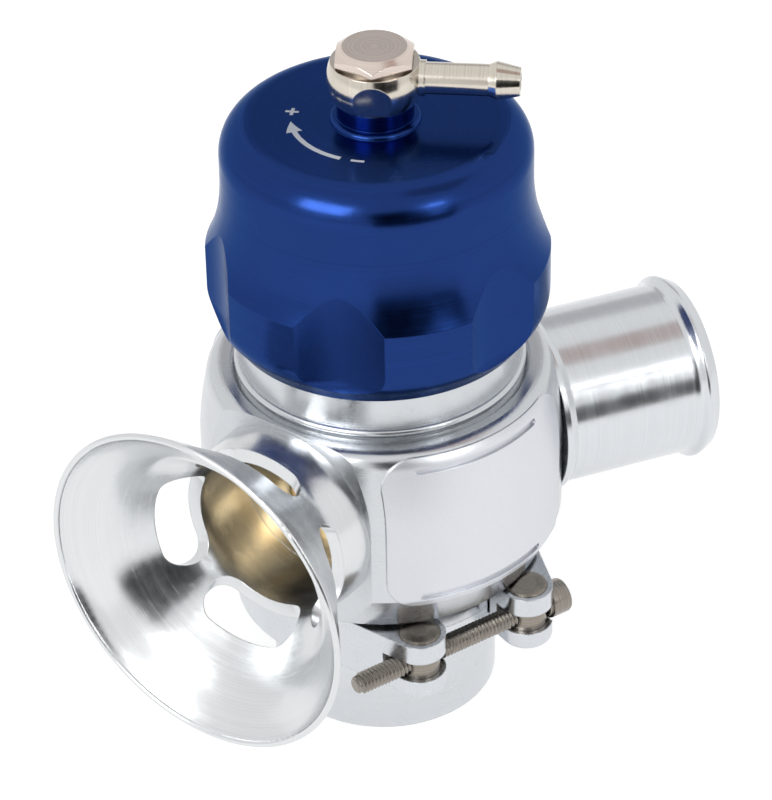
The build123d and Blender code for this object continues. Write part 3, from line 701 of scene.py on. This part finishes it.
@dataclass
class MainSpring:
    """The coil between piston and seat, with closed and ground ends."""

    radius: float = 11.9
    wire: float = 2.4
    low: float = 41.0
    high: float = 117.5
    turns: int = 10
    sides: int = 14
    steps: int = 40
    closed_share: float = 1.02
    lift: float = 11.0
    # Oil tempered wire: dark, blue-grey steel, seen only where the body is opened.
    finish: GrainedSurface = GrainedSurface(
        name="oil_tempered_spring_wire", colour="#63666A", dark="#4E5155", roughness=0.35, metallic=1.0
    )

    def build(self) -> None:
        """Winds a closed, an open and a closed length and fits them between their seats."""
        closed = self.wire * self.closed_share
        pitch = (self.high - self.low - self.wire - 2 * closed) / (self.turns - 2)
        level = self.low + self.wire / 2
        lengths = []
        for turns, rise in ((1, closed), (self.turns - 2, pitch), (1, closed)):
            lengths.append(self.wind(level, turns, rise))
            level += turns * rise
        coil = join(*lengths)
        mend_surface(coil, 0.01)
        edit_all(coil)
        bpy.ops.mesh.select_all(action="DESELECT")
        bpy.ops.mesh.select_non_manifold()
        bpy.ops.mesh.edge_face_add()
        bpy.ops.object.mode_set(mode="OBJECT")
        mend_surface(coil)
        finish_piece(coil, "coil_spring", "seat", dress(self.finish), 60.0)
        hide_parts("main_spring")
        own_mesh(coil)

    def wind(self, level: float, turns: int, rise: float) -> bpy.types.Object:
        """Winds one length of the wire.

        Args:
            level: The height that it starts at.
            turns: How many whole turns.
            rise: The height of each turn.

        Returns:
            The open tube.
        """
        clear_selection()
        bpy.ops.mesh.primitive_circle_add(
            vertices=self.sides,
            radius=self.wire / 2 * MM,
            location=(self.radius * MM, 0, level * MM),
            rotation=(math.pi / 2, 0, 0),
        )
        length = bpy.context.active_object
        settle(length)
        counts = {"iterations": turns, "steps": self.steps, "render_steps": self.steps}
        apply_modifier(
            length,
            "SCREW",
            axis="Z",
            angle=math.tau,
            screw_offset=rise * MM,
            use_merge_vertices=False,
            **counts,
        )
        return length


@dataclass
class ClampScrew:
    """Socket head screw with its rolled thread, lying across the two trunnions."""

    radius: float = 2.1
    root: float = 1.66
    pitch: float = 0.8
    tip: float = -27.3
    thread_end: float = 14.6
    face: float = 16.25
    face_radius: float = 2.9
    head: float = 17.0
    head_radius: float = 3.45
    head_end: float = 21.2
    socket: float = 3.0
    socket_depth: float = 2.4
    tip_chamfer: float = 0.35
    run_out: float = 0.4
    edge: float = 0.15
    rim: float = 0.5
    crest_round: float = 0.04
    taper: float = 0.72
    taper_reach: float = 1.3
    start: float = 0.1
    near_tip: float = 0.5
    sunk: float = 0.02
    # Root, shoulder, crest, crest, shoulder and root of the thread, in shares of its pitch.
    profile: tuple[float, ...] = (0.0, 0.4, 0.46, 0.54, 0.6, 1.0)
    steps: int = 32
    sides: int = 48
    # Passivated stainless: a dull, warm grey, with fine turned rings of a darker grey along the screw.
    finish: TurnedMetal = TurnedMetal(
        name="passivated_stainless_screw",
        colour="#9D978F",
        dark="#78726B",
        roughness=0.27,
        spread=0.06,
        ring_mm=0.3,
        ring_height_mm=0.002,
        turning=Turning.SCREW,
    )

    def build(self) -> None:
        """Builds the thread, shank and head as one piece."""
        shank, face, wide, end = self.root + self.sunk, self.face_radius, self.head_radius, self.head_end
        edge, rim = self.edge, self.rim
        body = lathe(
            "clamp_screw_body",
            [
                (0.0, self.tip),
                (self.root - self.tip_chamfer, self.tip),
                (shank, self.tip + self.tip_chamfer),
                (shank, self.thread_end - self.run_out),
                (self.radius, self.thread_end),
                (self.radius, self.face),
                (face, self.face),
                (face, self.head),
                (wide - edge, self.head),
                (wide, self.head + edge),
                (wide, end - 3 * edge),
                (wide - edge, end - edge),
                (wide - rim, end),
                (0.0, end),
            ],
            self.sides,
        )
        self.cut_socket(body)
        screw = join(body, self.thread())
        origin, along = Turning.SCREW.value
        turn = Vector((0, 0, 1)).rotation_difference(Vector(along)).to_matrix().to_4x4()
        screw.matrix_world = Matrix.Translation(Vector(origin) * MM) @ turn
        finish_piece(screw, "socket_head_screw", "screw", dress(self.finish), 30.0)
        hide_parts("clamp_screw")

    def thread(self) -> bpy.types.Object:
        """Rolls the thread and tapers its first turns.

        Returns:
            The thread's surface about the vertical axis.
        """
        start, crest = self.tip + self.start, self.radius
        shoulder = crest - self.crest_round
        distances = (self.root, shoulder, crest, crest, shoulder, self.root)
        flanks = [(r, start + share * self.pitch) for r, share in zip(distances, self.profile)]
        thread = trace_outline("clamp_screw_thread", flanks)
        turns = int((self.thread_end - self.run_out - start) / self.pitch) - 1
        counts = {"iterations": turns, "steps": self.steps, "render_steps": self.steps}
        apply_modifier(
            thread,
            "SCREW",
            axis="Z",
            angle=math.tau,
            screw_offset=self.pitch * MM,
            use_merge_vertices=False,
            **counts,
        )
        mend_surface(thread, 0.01)
        near = [v.index for v in thread.data.vertices if v.co.z < (self.tip + self.near_tip) * MM]
        edit_all(thread)
        bpy.ops.mesh.select_mode(type="VERT")
        bpy.ops.mesh.select_all(action="DESELECT")
        bpy.ops.object.mode_set(mode="OBJECT")
        for index in near:
            thread.data.vertices[index].select = True
        bpy.ops.object.mode_set(mode="EDIT")
        bpy.ops.transform.resize(
            value=(self.taper, self.taper, 1.0),
            center_override=(0, 0, self.tip * MM),
            use_proportional_edit=True,
            proportional_edit_falloff="LINEAR",
            proportional_size=self.taper_reach * MM,
        )
        bpy.ops.object.mode_set(mode="OBJECT")
        return thread

    def cut_socket(self, body: bpy.types.Object) -> None:
        """Cuts the hexagon socket into the head.

        Args:
            body: The screw's body about the vertical axis.
        """
        clear_selection()
        radius, depth = self.socket / math.sqrt(3) * MM, 2 * self.socket_depth * MM
        bpy.ops.mesh.primitive_cylinder_add(
            vertices=6, radius=radius, depth=depth, location=(0, 0, self.head_end * MM)
        )
        cutter = bpy.context.active_object
        apply_modifier(body, "BOOLEAN", operation="DIFFERENCE", object=cutter, solver="EXACT")
        bpy.data.objects.remove(cutter)


@dataclass
class AdjusterCap:
    """The screwed cap, its seal and the spring's upper seat."""

    # Deep blue dye under clear anodising: saturated and dark, with pale, broad highlights.
    cap: MarkedCapMetal = MarkedCapMetal(
        name="blue_anodised_aluminium",
        colour="#1E3A7A",
        dark="#182F66",
        roughness=0.24,
        spread=0.04,
        ring_mm=0.14,
        ring_height_mm=0.0008,
        turning=Turning.BORE,
        edge_mm=0.3,
        coat=0.06,
        grazing="#BCCAE2",
    )
    # As turned and degreased, never seen from outside.
    seat: TurnedMetal = TurnedMetal(
        name="turned_aluminium_seat",
        colour="#D3D6DA",
        dark="#BFC2C7",
        roughness=0.24,
        spread=0.05,
        ring_mm=0.12,
        ring_height_mm=0.0012,
        turning=Turning.BORE,
    )
    # Moulded nitrile: black, with a dull sheen.
    seal: GrainedSurface = GrainedSurface(
        name="moulded_nitrile_cap_seal", colour="#1C1C1D", dark="#141415", roughness=0.6
    )

    def build(self) -> None:
        """Dresses the cap's three pieces."""
        dress(self.cap, "cap")
        dress(self.seat, "spring_seat")
        dress(self.seal, "cap_o_ring")


@dataclass
class BanjoUnion:
    """The vacuum fitting on top: eye, hollow bolt and two washers."""

    # Bright nickel over brass: warm grey, so it mirrors the studio softly.
    fitting: TurnedMetal = TurnedMetal(
        name="bright_nickel_fitting",
        colour="#D6CFC4",
        dark="#C0B9AE",
        roughness=0.17,
        spread=0.04,
        ring_mm=0.3,
        ring_height_mm=0.0008,
        turning=Turning.STEM,
        grooves=0.35,
    )
    # The same plating on a bolt that was tumbled first, so it is duller; its grey is also a little
    # pinker, all over the bolt.
    bolt: TurnedMetal = TurnedMetal(
        name="bright_nickel_bolt",
        colour="#DED1C8",
        dark="#CDBFB5",
        roughness=0.2,
        spread=0.04,
        ring_mm=0.3,
        ring_height_mm=0.0006,
        turning=Turning.BORE,
        grooves=0.2,
    )
    # Copper washers with the same plating, seen only as a dull line. Their grey is painted shade: it is
    # far darker than the plating's own grey, to show the shaded gap under the bolt's hex.
    washer: GrainedSurface = GrainedSurface(
        name="nickel_plated_washer_painted_shade", colour="#8A827A", dark="#6E665F", roughness=0.35, metallic=1.0
    )

    def build(self) -> None:
        """Dresses the fitting, its bolt and its washers."""
        dress(self.fitting, "banjo_fitting")
        dress(self.bolt, "banjo_bolt")
        # The washers wear the darkened grey that paints the shade under the bolt's hex.
        dress(self.washer, "banjo_upper_seal", "banjo_lower_seal")


@dataclass
class ValveBody:
    """The body with its recirculation pipe, weld flange and seals."""

    # Fine turned aluminium under clear anodising: pale, satin, with matt blasted pads.
    body: BlastedPadMetal = BlastedPadMetal(
        name="satin_clear_anodised_aluminium",
        colour="#CED1D4",
        dark="#C0C3C7",
        roughness=0.24,
        spread=0.05,
        ring_mm=0.12,
        ring_height_mm=0.001,
        turning=Turning.BORE,
    )
    # Aluminium as turned, a little brighter than the body because it is not anodised.
    pipe: TurnedMetal = TurnedMetal(
        name="turned_aluminium_pipe",
        colour="#D6D9DC",
        dark="#C8CBCF",
        roughness=0.23,
        spread=0.04,
        ring_mm=0.12,
        ring_height_mm=0.001,
        turning=Turning.PIPE,
    )
    # The same bare metal, turned a little coarser, so its highlight is wider.
    flange: TurnedMetal = TurnedMetal(
        name="turned_aluminium_weld_flange",
        colour="#D6D9DC",
        dark="#C8CBCF",
        roughness=0.24,
        spread=0.05,
        ring_mm=0.14,
        ring_height_mm=0.001,
        turning=Turning.BORE,
    )
    # Moulded nitrile: a dull black line in its groove.
    seal: GrainedSurface = GrainedSurface(
        name="moulded_nitrile_seal", colour="#1C1C1D", dark="#141415", roughness=0.6
    )

    def build(self) -> None:
        """Dresses the body's pieces."""
        dress(self.body, "housing")
        dress(self.pipe, "recirculation_pipe")
        dress(self.flange, "weld_flange")
        dress(self.seal, "flange_o_ring", "recirculation_o_ring")


@dataclass
class Trumpet:
    """The vent trumpet and its seal."""

    # Polished, then lightly turned: bright with a fine round grain that blurs reflections.
    horn: TurnedMetal = TurnedMetal(
        name="turned_aluminium_trumpet",
        colour="#DCDEDF",
        dark="#CCCED0",
        roughness=0.24,
        spread=0.04,
        ring_mm=0.16,
        ring_height_mm=0.0012,
        turning=Turning.TRUMPET,
        grooves=0.25,
    )
    # Moulded nitrile: black, hidden on the spigot.
    seal: GrainedSurface = GrainedSurface(
        name="moulded_nitrile_trumpet_seal", colour="#1C1C1D", dark="#141415", roughness=0.6
    )

    def build(self) -> None:
        """Dresses the trumpet and its seal."""
        dress(self.horn, "trumpet")
        dress(self.seal, "trumpet_o_ring")


@dataclass
class Piston:
    """The brass piston, its guide ring and the main spring."""

    # Turned brass that has run hot: pale gold with darker, browner clouds.
    brass: TurnedMetal = TurnedMetal(
        name="heat_stained_brass",
        colour="#F0E0BC",
        dark="#B8924F",
        roughness=0.22,
        spread=0.07,
        ring_mm=0.2,
        ring_height_mm=0.0015,
        turning=Turning.BORE,
        grooves=0.3,
        stain=0.8,
        stain_mm=5.0,
    )
    # Cut from filled PTFE: ivory and waxy.
    ring: GrainedSurface = GrainedSurface(
        name="filled_ptfe_ring", colour="#D8D6CE", dark="#C9C6BC", roughness=0.5
    )
    spring: MainSpring = field(default_factory=MainSpring)

    def build(self) -> None:
        """Dresses the piston and its ring, and winds the spring."""
        dress(self.brass, "piston")
        dress(self.ring, "piston_ring")
        self.spring.build()


@dataclass
class BandClamp:
    """The two-piece band clamp with its hinge, trunnions and screw."""

    # Cast band, tumbled and clear anodised: soft edges and an even, pale satin.
    band: TurnedMetal = TurnedMetal(
        name="tumbled_clear_anodised_band",
        colour="#D3D6DA",
        dark="#C2C5CA",
        roughness=0.26,
        spread=0.06,
        ring_mm=0.2,
        ring_height_mm=0.001,
        turning=Turning.BORE,
        edge_mm=0.4,
    )
    # Stainless pins with domed, brown-grey ends.
    left: TurnedMetal = TurnedMetal(
        name="stainless_trunnion_left",
        colour="#9A938A",
        dark="#857E75",
        roughness=0.26,
        spread=0.04,
        ring_mm=0.3,
        ring_height_mm=0.0004,
        turning=Turning.TRUNNION_LEFT,
        edge_mm=1.1,
    )
    right: TurnedMetal = replace(
        left, name="stainless_trunnion_right", turning=Turning.TRUNNION_RIGHT
    )
    # Drawn stainless rod: warm grey, with no turned rings.
    pin: GrainedSurface = GrainedSurface(
        name="drawn_stainless_pin", colour="#A39C93", dark="#8F887F", roughness=0.3, metallic=1.0
    )
    screw: ClampScrew = field(default_factory=ClampScrew)

    def build(self) -> None:
        """Dresses the clamp and builds its screw."""
        dress(self.band, "clamp_half_left", "clamp_half_right")
        dress(self.left, "trunnion_threaded")
        dress(self.right, "trunnion_plain")
        dress(self.pin, "clamp_hinge_pin")
        self.screw.build()


@dataclass(frozen=True)
class Card:
    """A plain card that stands round the table and shows only in the metal.

    The bearing is the azimuth and elevation of its middle in degrees, and its distance in
    metres; the size is its width and height in metres.
    """

    name: str
    colour: str
    bearing: tuple[float, float, float]
    size: tuple[float, float]

    def stand(self, middle: Vector) -> None:
        """Stands the card.

        Args:
            middle: The point that it faces.
        """
        azimuth, elevation, distance = self.bearing
        flat = math.cos(math.radians(elevation))
        across, along = math.cos(math.radians(azimuth)), math.sin(math.radians(azimuth))
        out = Vector((across * flat, along * flat, math.sin(math.radians(elevation))))
        turn = out.to_track_quat("Z", "Y").to_euler()
        clear_selection()
        bpy.ops.mesh.primitive_plane_add(size=1.0, location=middle + out * distance, rotation=turn)
        made = bpy.context.active_object
        made.name = self.name
        made.scale = (self.size[0], self.size[1], 1.0)
        settle(made)
        shade, tree = new_material(self.name)
        path = add_node(tree, "LightPath").outputs
        clear = add_node(tree, "BsdfTransparent")
        cloth = add_node(tree, "Emission", {"Color": linear(self.colour), "Strength": 1.0})
        sides = {0: path["Is Glossy Ray"], 1: clear.outputs[0], 2: cloth.outputs[0]}
        both = add_node(tree, "MixShader", sides)
        add_node(tree, "OutputMaterial", {"Surface": both.outputs[0]})
        made.data.materials.append(shade)


@dataclass(frozen=True)
class SoftBox:
    """A rectangular lamp that faces the object, in metres and watts."""

    name: str
    place: tuple[float, float, float]
    size: tuple[float, float]
    watts: float

    def hang(self, middle: Vector) -> None:
        """Hangs the lamp.

        Args:
            middle: The point that it faces.
        """
        data = bpy.data.lights.new(self.name, "AREA")
        data.shape = "RECTANGLE"
        data.size, data.size_y = self.size
        data.energy = self.watts
        lamp = bpy.data.objects.new(self.name, data)
        bpy.context.scene.collection.objects.link(lamp)
        lamp.location = self.place
        lamp.rotation_euler = (middle - Vector(self.place)).to_track_quat("-Z", "Y").to_euler()


@dataclass(frozen=True)
class Viewpoint:
    """Where the photograph was taken from, in metres, with the camera's three axes."""

    place: tuple[float, float, float] = (-0.1954, -0.5016, 0.4469)
    right: tuple[float, float, float] = (0.92727, -0.37412, -0.01437)
    up: tuple[float, float, float] = (0.22772, 0.53314, 0.81480)
    back: tuple[float, float, float] = (-0.29717, -0.75881, 0.57956)
    sensor_mm: float = 36.0
    lens_mm: float = 160.6
    clip: tuple[float, float] = (0.01, 50.0)

    def build(self) -> None:
        """Stands the camera."""
        data = bpy.data.cameras.new("camera")
        data.sensor_fit = "HORIZONTAL"
        data.sensor_width = self.sensor_mm
        data.lens = self.lens_mm
        data.clip_start, data.clip_end = self.clip
        camera = bpy.data.objects.new("camera", data)
        bpy.context.scene.collection.objects.link(camera)
        turn = Matrix((self.right, self.up, self.back)).transposed()
        camera.matrix_world = Matrix.Translation(self.place) @ turn.to_4x4()
        bpy.context.scene.camera = camera


@dataclass
class Studio:
    """Plain floor, soft lights and the camera. Its sizes are in metres."""

    floor_half: float = 6.0
    floor_colour: str = "#C4C4C4"
    floor_glow: float = 0.66
    room_light: float = 0.5
    room_seen: float = 1.0
    middle: tuple[float, float, float] = (0.0, 0.0, 0.08)
    cards: tuple[Card, ...] = (
        Card("grey_rear_wall", "#CDCDCF", bearing=(66.0, 28.0, 1.5), size=(1.1, 0.75)),
        Card("warm_ceiling", "#CBB9B4", bearing=(-15.0, 68.0, 1.2), size=(0.5, 0.5)),
        Card("dark_front_cloth", "#141619", bearing=(-86.0, 13.0, 0.52), size=(0.58, 0.46)),
    )
    lamps: tuple[SoftBox, ...] = (
        SoftBox("left_softbox", place=(-0.93, -0.51, 0.82), size=(0.72, 0.62), watts=8.5),
        SoftBox("right_softbox", place=(0.43, -1.12, 0.72), size=(0.3, 0.42), watts=6.5),
    )
    viewpoint: Viewpoint = Viewpoint()

    def build(self) -> None:
        """Builds the floor, the world, the cards, the lamps and the camera."""
        clear_selection()
        bpy.ops.mesh.primitive_plane_add(size=2 * self.floor_half, location=(0, 0, 0))
        floor = bpy.context.active_object
        floor.name = "studio_floor"
        floor.data.materials.append(self.paper())
        self.world()
        for card in self.cards:
            card.stand(Vector(self.middle))
        for lamp in self.lamps:
            lamp.hang(Vector(self.middle))
        self.viewpoint.build()

    def seen(self, tree: bpy.types.NodeTree) -> bpy.types.NodeSocket:
        """Tells a ray that shows a surface, straight or mirrored, from one that lights it.

        Args:
            tree: The node tree.

        Returns:
            One for a ray that shows the surface and zero for the others.
        """
        path = add_node(tree, "LightPath").outputs
        near = add_node(
            tree, "Math", {0: path["Is Camera Ray"], 1: path["Is Glossy Ray"]}, operation="MAXIMUM"
        )
        every = {0: near.outputs[0], 1: path["Is Transmission Ray"]}
        return add_node(tree, "Math", every, operation="MAXIMUM").outputs[0]

    def paper(self) -> bpy.types.Material:
        """White paper floor that keeps the shadow.

        Returns:
            The floor's material.
        """
        made, tree = new_material("white_paper_floor")
        glow = add_node(tree, "Math", {0: self.seen(tree), 1: self.floor_glow}, operation="MULTIPLY")
        diffuse = add_node(tree, "BsdfDiffuse", {"Color": linear(self.floor_colour)})
        white = add_node(tree, "Emission", {"Color": (1, 1, 1, 1), "Strength": glow.outputs[0]})
        both = add_node(tree, "AddShader", {0: diffuse.outputs[0], 1: white.outputs[0]})
        add_node(tree, "OutputMaterial", {"Surface": both.outputs[0]})
        return made

    def world(self) -> None:
        """White surroundings at a plain level."""
        made = bpy.data.worlds.new("studio")
        bpy.context.scene.world = made
        made.use_nodes = True
        tree = made.node_tree
        tree.nodes.clear()
        level = add_node(
            tree,
            "MapRange",
            {"Value": self.seen(tree), "To Min": self.room_light, "To Max": self.room_seen},
        )
        back = add_node(tree, "Background", {"Color": (1, 1, 1, 1), "Strength": level.outputs[0]})
        add_node(tree, "OutputWorld", {"Surface": back.outputs[0]})


def main() -> None:
    """Builds the studio and the sub-assemblies."""
    logging.basicConfig(level=logging.INFO, format="%(message)s")
    bpy.context.scene.view_settings.view_transform = "Standard"
    for assembly in (
        Studio(), ValveBody(), AdjusterCap(), BanjoUnion(), Trumpet(), Piston(), BandClamp()
    ):
        assembly.build()
        log.info("built %s", type(assembly).__name__)


if __name__ == "__main__":
    main()
